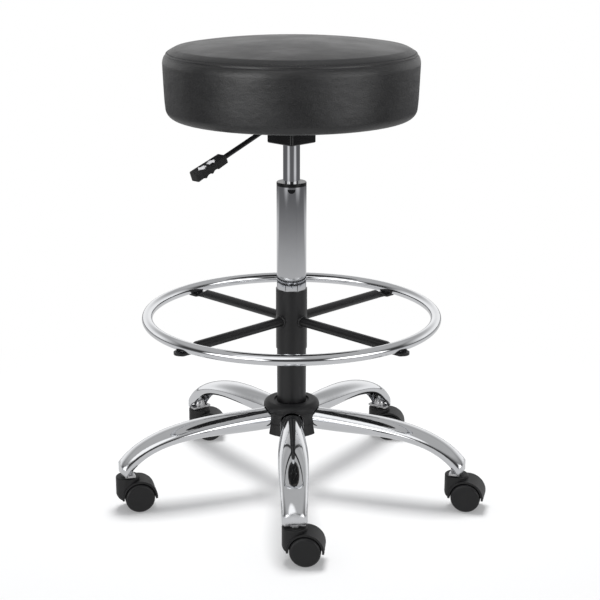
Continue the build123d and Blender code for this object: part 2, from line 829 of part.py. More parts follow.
def cut_past_tip(inset):
    """Cut away what lies past the leg's tip, which is round from above, drawn in by inset."""
    tip_width = leg_end_width + 2 * leg_wall - 2 * inset
    with BuildSketch(Plane.XY.offset(leg_end_z - leg_end_height)) as beyond:
        with Locations((stem_circle, 0)):
            Rectangle(2 * leg_end_width, 2 * leg_end_width, align=(Align.MIN, Align.CENTER))
        with Locations((stem_circle + leg_tip_reach - inset, 0)):
            RectangleRounded(
                4 * leg_end_width,
                tip_width,
                leg_tip_round - inset,
                align=(Align.MAX, Align.CENTER),
                mode=Mode.SUBTRACT,
            )
    extrude(beyond.sketch, amount=2 * leg_root_z, mode=Mode.SUBTRACT)


with BuildPart() as leg_hollow:
    leg_channel(0, Mode.ADD)
    cut_past_tip(leg_wall)

with BuildPart() as leg:
    leg_tube(0, (-leg_wall, leg_neck, leg_straight, leg_middle, leg_spare_end), Mode.ADD)
    cut_past_tip(0)
    leg_tube(leg_wall, (-leg_wall, leg_neck, channel_start - leg_wall), Mode.SUBTRACT)
    add(leg_hollow.part, mode=Mode.SUBTRACT)
    plate(leg_root_z - 2 * leg_diameter, 4 * leg_diameter, core_radius, Mode.SUBTRACT)
    split(bisect_by=Plane.XY.offset(leg_end_z), keep=Keep.TOP)
    split(bisect_by=leg_cut, keep=Keep.TOP)

for number, angle in enumerate(leg_angles, start=1):
    write(leg.part.rotate(Axis.Z, angle), f"base_leg_{number}")

# Caster sockets and stems, at the leg ends
plate_top_z = leg_end_z + socket_plate
bell_top_z = plate_top_z + bell_height

with BuildPart() as caster_socket:
    with BuildSketch(Plane.XY.offset(leg_end_z)):
        with Locations((stem_circle - bell_radius, 0)):
            Rectangle(bell_radius + stem_inset, leg_end_width, align=(Align.MIN, Align.CENTER))
    extrude(amount=socket_plate)
    leg_channel(seat_gap, Mode.INTERSECT)
    cut_past_tip(leg_wall + seat_gap)
    with BuildSketch(Plane.XZ.shift_origin((stem_circle, 0, 0))):
        with BuildLine():
            Polyline((0, bell_top_z), (0, leg_end_z), (bell_radius, leg_end_z), (bell_radius, plate_top_z))
            RadiusArc((bell_radius, plate_top_z), (bell_neck_radius, bell_top_z), -2 * bell_height)
            Line((bell_neck_radius, bell_top_z), (0, bell_top_z))
        make_face()
    stem_axis = Axis((stem_circle, 0, 0), (0, 0, 1))
    revolve(axis=stem_axis)
    with BuildSketch(Plane.XY.offset(leg_end_z)):
        with Locations((stem_circle, 0)):
            Circle(stem_radius + seat_gap)
    extrude(amount=bell_top_z - leg_end_z, mode=Mode.SUBTRACT)

stem_bottom_z = post_top_z - stem_depth
with BuildPart() as caster_stem:
    turned(
        (0, stem_bottom_z),
        (stem_radius, stem_bottom_z),
        (stem_radius, stem_collar_z),
        (stem_collar_radius, stem_collar_z),
        (stem_collar_radius, leg_end_z),
        (stem_radius, leg_end_z),
        (stem_radius, bell_top_z),
        (stem_tip_radius, bell_top_z + stem_radius - stem_tip_radius),
        (stem_tip_radius, bell_top_z + stem_tip),
        (0, bell_top_z + stem_tip),
    )

with BuildPart() as caster_sockets:
    with PolarLocations(0, leg_count, start_angle=leg_angles[0]):
        add(caster_socket.part)
write(caster_sockets.part, "caster_sockets")

with BuildPart() as caster_stems:
    with PolarLocations(stem_circle, leg_count, start_angle=leg_angles[0]):
        add(caster_stem.part)
write(caster_stems.part, "caster_stems")

# Caster, drawn with its stem at the origin and its wheels trailing to +X
axle_line = Plane(origin=(caster_trail, 0, axle_z), x_dir=(1, 0, 0), z_dir=(0, -1, 0))
wheel_inner = web_width / 2 + wheel_side_gap
skirt_foot = (caster_trail - well_radius, axle_z - tail_drop)
skirt_middle = (
    (skirt_foot[0] - post_radius) / 2 - skirt_bulge,
    axle_z + (skirt_rise - tail_drop) / 2 - skirt_bulge,
)
with BuildPart() as caster_hood:
    with BuildSketch(Plane.XY.offset(skirt_foot[1])):
        Circle(post_radius)
    extrude(amount=post_top_z - skirt_foot[1])
    with BuildSketch(axle_line):
        Circle(fender_radius)
    extrude(amount=hood_width / 2, both=True)
    with BuildSketch(Plane.XZ):
        with BuildLine():
            Polyline(
                skirt_foot,
                (skirt_foot[0], skirt_foot[1] - fender_radius),
                (-2 * post_radius, skirt_foot[1] - fender_radius),
                (-2 * post_radius, axle_z + skirt_rise),
                (-post_radius, axle_z + skirt_rise),
            )
            ThreePointArc(
                (-post_radius, axle_z + skirt_rise),
                skirt_middle,
                skirt_foot,
            )
        make_face()
    extrude(amount=hood_width, both=True, mode=Mode.SUBTRACT)
    with BuildSketch(Plane.XY.offset(skirt_foot[1])):
        with Locations((caster_trail, 0)):
            Rectangle(4 * fender_radius, 2 * hood_width)
    extrude(amount=-2 * fender_radius, mode=Mode.SUBTRACT)
    for side in (1, -1):
        with BuildSketch(axle_line.offset(side * web_width / 2)):
            Circle(well_radius)
        extrude(amount=side * hood_width, mode=Mode.SUBTRACT)
    with BuildSketch(axle_line):
        Circle(web_boss_radius)
    extrude(amount=web_width / 2, both=True)
    rim_edges = caster_hood.faces().sort_by(Axis.Z)[-1].edges()
    fillet(rim_edges, hood_edge)
    with BuildSketch(axle_line):
        Circle(axle_radius)
    extrude(amount=hood_width, both=True, mode=Mode.SUBTRACT)
    plate(post_top_z, -stem_depth - pass_gap, stem_radius + running_gap, Mode.SUBTRACT)

with BuildPart() as caster_axle:
    with BuildSketch(axle_line):
        Circle(axle_radius)
    extrude(amount=wheel_inner + axle_grip, both=True)
    tips = caster_axle.edges().group_by(Axis.Y)
    chamfer(tips[0] + tips[-1], axle_radius / 6)


def caster_wheel(side):
    """Wheel on one side of the web: rounded outer edge, hollow inner face, blind axle bore."""
    with BuildPart() as wheel:
        with BuildSketch(axle_line.offset(side * wheel_inner)):
            Circle(wheel_radius)
        extrude(amount=side * wheel_width)
        faces = wheel.faces().filter_by(GeomType.PLANE).sort_by(Axis.Y)
        fillet(faces[0 if side > 0 else -1].edges(), wheel_edge)
        with BuildSketch(axle_line.offset(side * wheel_inner)):
            Circle(wheel_radius - wheel_rim)
            Circle(wheel_hub_radius, mode=Mode.SUBTRACT)
        extrude(amount=side * wheel_dish, mode=Mode.SUBTRACT)
        with BuildSketch(axle_line.offset(side * wheel_inner)):
            Circle(axle_radius + running_gap)
        extrude(amount=side * (axle_grip + pass_gap), mode=Mode.SUBTRACT)
    return wheel.part


wheels = {"near": caster_wheel(1), "far": caster_wheel(-1)}
for number, (angle, yaw) in enumerate(zip(leg_angles, caster_yaws), start=1):
    stem_x = stem_circle * cos(radians(angle))
    stem_y = stem_circle * sin(radians(angle))
    spot = Location((stem_x, stem_y, 0), (0, 0, yaw))
    write(caster_hood.part.moved(spot), f"caster_hood_{number}")
    write(caster_axle.part.moved(spot), f"caster_axle_{number}")
    for side, wheel in wheels.items():
        write(wheel.moved(spot), f"caster_wheel_{number}_{side}")
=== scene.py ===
import json
import math

import bmesh
import bpy
import numpy as np
from mathutils import Euler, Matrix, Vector


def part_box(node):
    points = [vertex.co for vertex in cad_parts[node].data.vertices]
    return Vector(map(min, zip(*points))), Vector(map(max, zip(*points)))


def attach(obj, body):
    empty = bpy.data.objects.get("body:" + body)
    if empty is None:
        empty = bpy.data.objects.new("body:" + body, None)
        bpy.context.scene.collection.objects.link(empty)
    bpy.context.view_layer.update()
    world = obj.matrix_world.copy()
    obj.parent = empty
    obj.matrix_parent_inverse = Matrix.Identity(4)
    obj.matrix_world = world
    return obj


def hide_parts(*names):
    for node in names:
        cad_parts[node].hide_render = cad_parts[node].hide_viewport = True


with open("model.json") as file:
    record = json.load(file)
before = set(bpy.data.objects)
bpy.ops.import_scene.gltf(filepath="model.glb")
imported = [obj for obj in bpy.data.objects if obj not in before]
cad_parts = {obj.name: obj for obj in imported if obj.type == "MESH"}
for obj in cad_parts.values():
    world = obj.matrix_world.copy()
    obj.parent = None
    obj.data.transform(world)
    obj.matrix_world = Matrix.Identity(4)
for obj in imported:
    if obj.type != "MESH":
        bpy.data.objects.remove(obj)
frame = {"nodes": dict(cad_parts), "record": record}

bl_info = {
    "name": "Drafting Stool",
    "version": (1, 0, 0),
    "blender": (4, 5, 0),
    "location": "View3D > Sidebar > Stool",
    "description": "Dresses the frame of a round drafting stool: padded seat, chrome, black paint and plastic",
    "category": "Object",
}

TURN = 2 * math.pi
UP = np.array([0.0, 0.0, 1.0])
MILLIMETRE = 0.001
SKIN = 0.0002  # gap between surfaces that lie on each other

# Places in the frame
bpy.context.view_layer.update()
NODES = frame["nodes"]
COVER_LOW, COVER_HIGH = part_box("seat_cover")
DUST_LOW, DUST_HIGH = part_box("dust_cover")
SOCKET_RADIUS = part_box("footring_socket")[1].x
SPOKE_COUNT = 4
SPOKE_TURN = 45  # degrees from X to the first spoke
SPOKE_RADIUS = 0.008
SPOKE_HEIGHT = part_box("footring_spokes")[1].z - SPOKE_RADIUS
LEG_TIP = (0.282, 0.294)  # distances from the column's axis between which a leg's tip begins
LEG_TIP_ROUND = 0.008

# The lever's handle: where it points, how it droops, and where its top face starts
LEVER_TURN = math.radians(225)
LEVER_DROOP = math.radians(20.5)
HANDLE_REACH = 0.151844
HANDLE_HEIGHT = 0.605456
HANDLE_TOP = 0.0065

# Seat: rows of its outline, columns round it, and the pad that is blown up inside it
CROWN_ROWS, SHOULDER_ROWS, SIDE_ROWS = 44, 76, 28
TOE_ROWS, HEM_ROWS, UNDER_ROWS = 14, 10, 8
SEAT_COLUMNS = 320
HEM_STEP = 0.0003  # least height of the step at the hem's edge
PAD_COLUMNS = 160
PAD_VOXEL = 0.005
PAD_HELD = 0.009  # height above the underside up to which the pad is held
PAD_FRAMES = 20
PAD_CLOTH = {
    "quality": 6,
    "mass": 0.35,
    "tension_stiffness": 25.0,
    "compression_stiffness": 25.0,
    "shear_stiffness": 12.0,
    "bending_stiffness": 2.0,
    "use_pressure": True,
    "uniform_pressure_force": 4.0,
}
SMOOTHING_ROUNDS = 120
PUFF_SHARE = 0.55  # largest puff, as a share of the swell
PUFF_EASE = 1.6  # swelling at which the puff levels off, as a share of the swell
GATHER_START = 0.105  # way along the outline from the seam to the gathered hem
GATHER_FADE = 0.03
GATHER_DEPTH = 0.00045
GATHER_TUCK = 0.0005
GATHER_HEIGHT = 0.002  # the gathers stay this close to the underside
STITCH_ROWS, STITCH_COLUMNS = 7, 6

# Seat underside: the cloth is slack between the mechanism's plate and its edge
CLOTH_ROWS, CLOTH_COLUMNS = 48, 192
SLACK_START, SLACK_RISE, SLACK_FALL = 0.09, 0.03, 0.02
SAG = 0.0006
STAPLE_COUNT = 44
STAPLE_OFFSET = 0.008  # from the cloth's edge out to the staples
STAPLE_HALF = 0.0048
STAPLE_WIRE = 0.0005
STAPLE_DROP = 0.0012
STAPLE_COLUMNS = 6

# Welds
WELD_STEPS, WELD_COLUMNS = 96, 12
WELD_MARGIN = 0.0006  # from the spoke out to the bead's middle
WELD_LIFT = 0.0004  # from the socket out to the bead's middle
WELD_RADIUS, WELD_SCALE, WELD_WANDER = 0.0021, 0.00025, 0.0003

# Arrows on the handle: outline and middle in millimetres, and each arrow's place along the handle and direction
ARROW = ((8, 0), (0, 9), (0, 4), (-7, 4), (-7, -4), (0, -4), (0, -9))
ARROW_MIDDLE = (1.0, 0.0)
ARROW_HALF = 0.0002
ARROWS = ((0.026, -1.0), (0.046, 1.0))

# Stage: directions and strengths of the panels that shiny surfaces mirror, and the lamps
SIDE_WAYS = ((-0.66, -0.75), (0.77, -0.64))
PANELS = (((*SIDE_WAYS[0], 0.0), 3.4), ((*SIDE_WAYS[1], 0.0), 3.0), ((-0.25, -0.62, 0.744), 1.2))
PANEL_EDGE = (0.88, 0.96)  # cosines at a panel's outer and inner edge
WHITE = (1.0, 1.0, 1.0, 1.0)
SHEET = (0.8, 2.6)  # distances between which the pale sheet, which glows as painted reflection to shiny surfaces, fades into the dark floor
SHEET_TONE = 0.6
REAR_START, REAR_END = (0.3, 1.4), (1.9, 2.8)  # the sheet reaches further behind the stool
PATCH_START, PATCH_EDGE = (2.3, 2.9), (0.2, 1.5)  # where a glowing patch of painted reflection begins, and how it fades sideways
PATCH_RISE = (3.5, 4.4)  # distances between which a patch's painted glow goes from grey to bright
LIT_FLOOR = (0.4, 1.0)  # distances between which the lit floor turns to plain white
PLAIN_LEAST = 0.25  # share of plain white in the floor under the stool
# share of emission in the floor that shiny surfaces see: the sheet and patches glow there as painted light, not lit
# by a lamp
MIRRORED_GLOW_SHARE = 0.9
DARK_FLOOR = (0.13, 0.13, 0.135, 1.0)
# emission colours of the glowing patches, a painted reflection brighter than white
GREY_GLOW_PATCH = (0.75, 0.75, 0.76, 1.0)
BRIGHT_GLOW_PATCH = (2.6, 2.6, 2.6, 1.0)
WALL_WAY, WALL_TOP, WALL_FALL = (-0.1, 0.5), (0.2, 0.6), 0.6  # white wall behind, dimmer towards its top
CEILING_WAY, CEILING = (0.25, 0.7), 0.45
DARKEST = 0.05
ROOM = (0.62, 0.63, 0.65, 1.0)
ROOM_STRENGTH = 0.6
SENSOR = 36.0
AIM = Vector((0.0, 0.0, 0.45))
LAMPS = (  # name, place, size, watts
    ("lamp_left", (-1.5, -1.6, 1.0), (0.5, 1.7), 26.0),
    ("lamp_right", (1.9, -0.6, 1.0), (0.5, 1.7), 22.0),
    ("lamp_top", (0.0, 0.5, 2.6), (1.0, 1.0), 56.0),
)
SHADED = ("base_leg", "caster_hood", "caster_wheel", "hub_cover")  # nodes that shade the floor from lamp_top


# Settings


def length(name, description, default):
    """A size in metres that a user may change."""
    return bpy.props.FloatProperty(
        name=name, description=description, default=default, unit="LENGTH", precision=4
    )


def colour(name, description, default):
    """A linear colour that a user may change."""
    return bpy.props.FloatVectorProperty(
        name=name, description=description, default=default, subtype="COLOR", size=3, min=0.0, max=1.0
    )


class StoolSeat(bpy.types.PropertyGroup):
    """Sizes of the padded seat."""

    rim_radius: length("Rim radius", "Radius of the seat at its widest", 0.2095)
    foot_radius: length("Foot radius", "Radius of the seat where its side meets the underside", 0.2045)
    crown_rise: length("Crown rise", "Height of the dome of the top panel", 0.016)
    shoulder: length("Shoulder", "Rounding between the top panel and the side", 0.022)
    foot_round: length("Foot rounding", "Rounding between the side and the underside", 0.016)
    hem_radius: length("Hem radius", "Inner edge of the cover under the seat", 0.1655)
    swell: length("Swell", "How far the padding may push the cover out", 0.005)
    seam_angle: bpy.props.FloatProperty(
        name="Seam angle",
        description="Place of the seam on the rounded shoulder",
        default=math.radians(33),
        subtype="ANGLE",
    )
    seam_depth: length("Seam depth", "Depth of the seam between the top panel and the side", 0.0012)
    seam_width: length("Seam width", "Width of the seam", 0.0016)
    stitch_offset: length("Stitch offset", "Distance from the seam to the row of stitches above it", 0.0055)
    stitch_pitch: length("Stitch pitch", "Distance from one stitch to the next", 0.0048)
    stitch_length: length("Stitch length", "Length of one stitch", 0.0034)
    thread: length("Thread", "Radius of the thread", 0.00042)


class StoolFinish(bpy.types.PropertyGroup):
    """Colours of the stool."""

    vinyl: colour("Vinyl", "Cover of the seat", (0.0075, 0.0075, 0.008))
    thread: colour("Thread", "Stitches of the seat", (0.012, 0.012, 0.013))
    chrome: colour("Chrome", "Bright plated tubes", (0.78, 0.79, 0.81))
    paint: colour("Paint", "Black powder coat", (0.006, 0.006, 0.0065))
    plastic: colour("Plastic", "Black moulded plastic", (0.0065, 0.0065, 0.007))
    mark: colour("Mark", "Arrows on the lever's handle", (0.55, 0.55, 0.56))


class StoolStage(bpy.types.PropertyGroup):
    """Camera, floor and light."""

    eye: bpy.props.FloatVectorProperty(
        name="Camera",
        description="Place of the camera",
        default=(0.0, -2.331246, 1.013533),
        subtype="XYZ",
        unit="LENGTH",
    )
    pitch: bpy.props.FloatProperty(
        name="Pitch", description="Turn of the camera about X", default=math.radians(73.919), subtype="ANGLE"
    )
    lens: bpy.props.FloatProperty(
        name="Lens", description="Focal length on a 36 mm sensor", default=85.64, unit="CAMERA"
    )
    shift: bpy.props.FloatProperty(name="Shift", description="Sideways shift of the lens", default=0.0141)
    floor: colour("Floor", "Plain pale floor", (0.97, 0.97, 0.97))
    floor_size: length("Floor size", "Half the width of the floor", 6.0)


# Surfaces


def surface(name, points, wrap=True, merge=True):
    """Mesh from grids of points [copy, row, column]: each cell is a quad, and wrap joins the columns up."""
    grids = points.reshape(-1, *points.shape[-3:])
    index = np.arange(grids[..., 0].size).reshape(grids.shape[:-1])
    beside = np.roll(index, -1, axis=2)
    quads = np.stack([index[:, :-1], beside[:, :-1], beside[:, 1:], index[:, 1:]], axis=-1)
    if not wrap:
        quads = quads[:, :, :-1]
    mesh = bpy.data.meshes.new(name)
    mesh.from_pydata(grids.reshape(-1, 3).tolist(), [], quads.reshape(-1, 4).tolist())
    if merge:
        close_poles(mesh)
    mesh.polygons.foreach_set("use_smooth", np.ones(len(mesh.polygons), dtype=bool))
    return mesh


def close_poles(mesh):
    """Merge the points that a grid repeats at its poles and seams, and point the faces outwards."""
    solid = bmesh.new()
    solid.from_mesh(mesh)
    bmesh.ops.remove_doubles(solid, verts=solid.verts, dist=1e-6)
    bmesh.ops.recalc_face_normals(solid, faces=solid.faces)
    solid.to_mesh(mesh)
    solid.free()


def turned(profile, columns):
    """Grid [row, column] of a profile of (radius, height) turned about the column's axis."""
    angle = np.arange(columns) * TURN / columns
    radius, height = profile[:, :1], profile[:, 1:]
    return np.stack([radius * np.cos(angle), radius * np.sin(angle), height + 0 * angle], axis=-1)


def tube(path, radius, columns, across):
    """Grid of a round tube along a path of points, with a radius for each row; across points out of its bends."""
    along = np.gradient(path, axis=0)
    along /= np.linalg.norm(along, axis=1, keepdims=True)
    side = np.cross(across, along)
    side /= np.linalg.norm(side, axis=1, keepdims=True)
    up = np.cross(along, side)
    angle = np.arange(columns) * TURN / columns
    round_about = side[:, None] * np.cos(angle)[:, None] + up[:, None] * np.sin(angle)[:, None]
    return path[:, None] + radius[:, None, None] * round_about


def spun(points, angle):
    """Points turned about the column's axis."""
    cos, sin = math.cos(angle), math.sin(angle)
    return points @ np.array([[cos, -sin, 0], [sin, cos, 0], [0, 0, 1]]).T


def laid(centres, axes, sizes):
    """Copies of a grid, whose sizes [row, column] are measured along each copy's own three axes from its centre."""
    parts = zip(axes, sizes)
    return centres[:, None, None] + sum(axis[:, None, None] * size[..., None] for axis, size in parts)


def path_lengths(path):
    """Distance along a path of points, from its first point."""
    steps = np.linalg.norm(np.diff(path, axis=0), axis=1)
    return np.concatenate([[0.0], np.cumsum(steps)])


def grid_normals(grid):
    """Outward unit normals of a turned grid: the cross product of its two directions, by differences."""
    around = np.roll(grid, -1, axis=1) - np.roll(grid, 1, axis=1)
    along = np.gradient(grid, axis=0)
    normal = np.cross(along, around)
    size = np.linalg.norm(normal, axis=-1, keepdims=True)
    normal = np.where(size > 1e-12, normal / np.maximum(size, 1e-12), UP)
    normal[0], normal[-1] = UP, -UP
    return normal


def arc(centre, radius, start, end, count):
    """Points on an arc in the plane of radius and height, end left out."""
    angle = np.linspace(start, end, count, endpoint=False)
    return np.stack([centre[0] + radius * np.cos(angle), centre[1] + radius * np.sin(angle)], axis=-1)


def seat_profile(seat, inset):
    """Half outline of the pad drawn in by inset, from the top of the crown to the middle of the underside.

    The crown is an arc through the top and the rim. The shoulder is an arc that touches the crown and the side.
    The side is a straight line that draws in towards the foot, which is rounded. The hem ends in a low step.
    Returns the outline and the distance along it to the seam.
    """
    dome = (seat.rim_radius**2 + seat.crown_rise**2) / (2 * seat.crown_rise)
    middle = np.array([0.0, COVER_HIGH.z - dome])
    dome -= inset
    shoulder, toe = seat.shoulder - inset, seat.foot_round - inset
    foot = np.array([seat.foot_radius - inset, COVER_LOW.z + inset])
    rim_radius = seat.rim_radius - inset
    rim = np.array([rim_radius, middle[1] + math.sqrt(dome**2 - rim_radius**2)])
    side = (rim - foot) / np.linalg.norm(rim - foot)
    outward = np.array([side[1], -side[0]])
    start = foot - shoulder * outward - middle
    lean = start @ side
    hub = start + side * (math.sqrt(lean**2 - start @ start + (dome - shoulder) ** 2) - lean) + middle
    toe_start = foot - toe * outward
    toe_hub = toe_start + side * (foot[1] + toe - toe_start[1]) / side[1]
    crown_end = math.atan2(hub[1] - middle[1], hub[0])
    side_turn = math.atan2(outward[1], outward[0])
    crown = arc(middle, dome, math.pi / 2, crown_end, CROWN_ROWS)
    shoulder_arc = arc(hub, shoulder, crown_end, side_turn, SHOULDER_ROWS)
    side_run = np.linspace(hub + shoulder * outward, toe_hub + toe * outward, SIDE_ROWS, endpoint=False)
    toe_arc = arc(toe_hub, toe, side_turn, -math.pi / 2, TOE_ROWS)
    step_height = max(DUST_HIGH.z + SKIN, foot[1] + HEM_STEP)
    hem = np.linspace((toe_hub[0], foot[1]), (seat.hem_radius, foot[1]), HEM_ROWS)
    under = np.linspace((seat.hem_radius - SKIN, step_height), (0.0, step_height), UNDER_ROWS)
    outline = np.concatenate([crown, shoulder_arc, side_run, toe_arc, hem, under])
    seam = dome * (math.pi / 2 - crown_end) + shoulder * (crown_end - seat.seam_angle)
    return outline, seam


def stitch_count(seat):
    """How many stitches go round the shoulder."""
    return round(TURN * (seat.rim_radius - seat.shoulder / 2) / seat.stitch_pitch)


def evaluated_points(context, thing):
    """Points of an object's mesh with its modifiers, as an array."""
    mesh = thing.evaluated_get(context.evaluated_depsgraph_get()).to_mesh()
    points = np.empty(3 * len(mesh.vertices))
    mesh.vertices.foreach_get("co", points)
    return points.reshape(-1, 3)


def blow_up(context, mesh, limit):
    """Even quads over a pad, blown up as cloth with its underside held, no point moving further than limit."""
    pad = bpy.data.objects.new("pad_cloth", mesh)
    context.scene.collection.objects.link(pad)
    even = pad.modifiers.new("even", "REMESH")
    even.mode = "VOXEL"
    even.voxel_size = PAD_VOXEL
    depsgraph = context.evaluated_depsgraph_get()
    pad.data = bpy.data.meshes.new_from_object(pad.evaluated_get(depsgraph))
    pad.modifiers.clear()
    before = evaluated_points(context, pad)
    held = pad.vertex_groups.new(name="held")
    held.add(np.flatnonzero(before[:, 2] < COVER_LOW.z + PAD_HELD).tolist(), 1.0, "REPLACE")
    cloth = pad.modifiers.new("cloth", "CLOTH")
    for name, value in PAD_CLOTH.items():
        setattr(cloth.settings, name, value)
    cloth.settings.vertex_group_mass = held.name
    cloth.settings.effector_weights.gravity = 0.0
    for step in range(1, PAD_FRAMES + 1):
        context.scene.frame_set(step)
    moved = evaluated_points(context, pad) - before
    context.scene.frame_set(1)
    pad.modifiers.clear()
    reach = np.linalg.norm(moved, axis=1, keepdims=True)
    after = before + moved * np.minimum(1.0, limit / np.maximum(reach, 1e-9))
    pad.data.vertices.foreach_set("co", after.ravel())
    pad.data.update()
    smoother = pad.modifiers.new("finer", "SUBSURF")
    smoother.levels = smoother.render_levels = 1
    return pad


def add_piece(name, mesh, body, material):
    """Put a mesh in the scene as a piece that rides on a body of the frame."""
    piece = bpy.data.objects.new(name, mesh)
    bpy.context.scene.collection.objects.link(piece)
    mesh.materials.clear()
    mesh.materials.append(material)
    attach(piece, body)
    return piece


# Shaders


class Socket:
    """An output of a shader tree; arithmetic on it adds Math nodes to the tree."""

    def __init__(self, tree, socket=None):
        self.tree = tree
        self.socket = socket

    def node(self, kind, settings=None, inputs=None, output=0):
        """Add a node, set its settings and then its sockets, and return one of its outputs."""
        made = self.tree.nodes.new(kind)
        for name, value in (settings or {}).items():
            setattr(made, name, value)
        for name, value in (inputs or {}).items():
            if isinstance(value, Socket):
                self.tree.links.new(value.socket, made.inputs[name])
            else:
                made.inputs[name].default_value = value
        return Socket(self.tree, made.outputs[output] if len(made.outputs) else None)

    def math(self, operation, *values):
        """A Math node on this tree."""
        return self.node("ShaderNodeMath", {"operation": operation}, dict(enumerate(values)))

    def __add__(self, other):
        return self.math("ADD", self, other)

    __radd__ = __add__

    def __sub__(self, other):
        return self.math("SUBTRACT", self, other)

    def __rsub__(self, other):
        return self.math("SUBTRACT", other, self)

    def __mul__(self, other):
        return self.math("MULTIPLY", self, other)

    __rmul__ = __mul__

    def clip(self, low, high):
        """0 below low and 1 above high, smooth between."""
        return self.node(
            "ShaderNodeMapRange",
            {"interpolation_type": "SMOOTHSTEP"},
            {"Value": self, "From Min": low, "From Max": high},
        )

    def mix(self, first, second):
        """Colour that goes from first to second with this value."""
        return self.node(
            "ShaderNodeMix",
            {"data_type": "RGBA"},
            {"Factor": self, 6: first, 7: second},
            output=2,
        )


def new_material(name):
    """An empty node material and the handle that adds nodes to it."""
    material = bpy.data.materials.new(name)
    material.use_nodes = True
    material.node_tree.nodes.clear()
    return material, Socket(material.node_tree)


def output(pen, shader):
    """End a material's tree."""
    pen.node("ShaderNodeOutputMaterial", inputs={"Surface": shader})


def noise(pen, scale, detail=2.0, roughness=0.5, stretch=None):
    """Noise on the piece's own coordinates: scale in cycles a metre, and a stretch along X, Y and Z."""
    place = pen.node("ShaderNodeTexCoord", output="Object")
    if stretch:
        place = pen.node("ShaderNodeMapping", inputs={"Vector": place, "Scale": stretch})
    return pen.node(
        "ShaderNodeTexNoise",
        inputs={"Vector": place, "Scale": scale, "Detail": detail, "Roughness": roughness},
    )


def bumped(pen, height, strength, distance, **more):
    """Normals bumped by a height."""
    inputs = {"Strength": strength, "Distance": distance, "Height": height, **more}
    return pen.node("ShaderNodeBump", inputs=inputs)


def principled(pen, base, roughness, normal, **constants):
    """End a material's tree with a surface; the constants' names have _ for each space."""
    inputs = {"Base Color": base, "Roughness": roughness, "Normal": normal}
    inputs.update({name.replace("_", " "): value for name, value in constants.items()})
    output(pen, pen.node("ShaderNodeBsdfPrincipled", inputs=inputs))


def rgba(tone, gain=1.0):
    """A colour for a socket, brighter or darker by gain."""
    return (tone[0] * gain, tone[1] * gain, tone[2] * gain, 1.0)


def vinyl_finish(tone):
    """Satin vinyl: fine pebbled grain, soft pulls and a sheen that varies."""
    material, pen = new_material("seat_vinyl")
    place = pen.node("ShaderNodeTexCoord", output="Object")
    pebble = pen.node(
        "ShaderNodeTexVoronoi",
        {"feature": "SMOOTH_F1"},
        {"Vector": place, "Scale": 1150.0, "Smoothness": 0.6},
        output="Distance",
    )
    crease = noise(pen, scale=420.0, detail=4.0, roughness=0.6)
    pull = noise(pen, scale=38.0, detail=4.0, roughness=0.55, stretch=(1.0, 1.0, 1.8))
    worn = noise(pen, scale=9.0, detail=3.0, roughness=0.6)
    principled(
        pen,
        base=worn.clip(0.35, 0.7).mix(rgba(tone, 0.7), rgba(tone, 1.2)),
        roughness=0.31 + 0.11 * worn.clip(0.3, 0.7) + 0.06 * crease,
        normal=bumped(pen, pebble * 0.35 + crease * 0.25 + pull * 2.4, strength=0.45, distance=0.0008),
        Specular_IOR_Level=0.74,
    )
    return material


def thread_finish(tone):
    """Thread: fuzz and a dull sheen."""
    material, pen = new_material("seat_thread")
    fuzz = noise(pen, scale=2600.0)
    principled(
        pen,
        base=fuzz.mix(rgba(tone, 0.7), rgba(tone, 1.6)),
        roughness=0.5 + 0.2 * fuzz,
        normal=bumped(pen, fuzz, strength=0.4, distance=0.0002),
    )
    return material


def chrome_finish(tone):
    """Bright plate: a slow waviness from polishing, hairline haze, faint smears and soft edges at the legs' tips."""
    material, pen = new_material("bright_chrome")
    wave = noise(pen, scale=9.0, detail=1.0)
    smear = noise(pen, scale=11.0, detail=4.0, roughness=0.6)
    hair = noise(pen, scale=900.0, detail=3.0, roughness=0.6, stretch=(1.0, 1.0, 0.08))
    place = pen.node("ShaderNodeTexCoord", output="Object")
    level = pen.node("ShaderNodeVectorMath", {"operation": "MULTIPLY"}, {0: place, 1: (1.0, 1.0, 0.0)})
    reach = pen.node("ShaderNodeVectorMath", {"operation": "LENGTH"}, {0: level}, output="Value")
    plain = pen.node("ShaderNodeNewGeometry", output="Normal")
    rounded = pen.node("ShaderNodeBevel", {"samples": 8}, {"Radius": LEG_TIP_ROUND})
    facing = pen.node(
        "ShaderNodeMix",
        {"data_type": "VECTOR"},
        {"Factor": reach.clip(*LEG_TIP), 4: plain, 5: rounded},
        output=1,
    )
    principled(
        pen,
        base=smear.clip(0.3, 0.75).mix(rgba(tone, 0.96), rgba(tone, 1.03)),
        roughness=0.03 + 0.05 * smear.clip(0.45, 0.8) + 0.02 * hair,
        normal=bumped(pen, wave, strength=0.05, distance=0.0008, Normal=facing),
        Metallic=1.0,
    )
    return material


def steel_finish(name, tone, rough, grain):
    """Ground or zinc-plated steel: brushed lines and dull patches."""
    material, pen = new_material(name)
    line = noise(pen, scale=grain, detail=3.0, roughness=0.6, stretch=(1.0, 1.0, 0.15))
    patch = noise(pen, scale=60.0, detail=3.0)
    principled(
        pen,
        base=patch.mix(rgba(tone, 0.85), rgba(tone, 1.05)),
        roughness=rough + 0.15 * line + 0.1 * patch,
        normal=bumped(pen, line, strength=0.15, distance=0.0002),
        Metallic=1.0,
    )
    return material


def paint_finish(name, tone, rough, peel):
    """Black powder coat: orange peel, dust-dull patches and fine rubs."""
    material, pen = new_material(name)
    skin = noise(pen, scale=420.0)
    dust = noise(pen, scale=14.0, detail=4.0, roughness=0.65)
    rub = noise(pen, scale=130.0, detail=5.0, roughness=0.7, stretch=(1.0, 1.0, 0.3)).clip(0.62, 0.78)
    principled(
        pen,
        base=(dust * 0.6 + rub * 0.4).mix(rgba(tone, 0.8), rgba(tone, 1.7)),
        roughness=rough + 0.1 * dust + 0.08 * rub,
        normal=bumped(pen, skin, strength=peel, distance=0.0004),
        Specular_IOR_Level=0.5,
    )
    return material


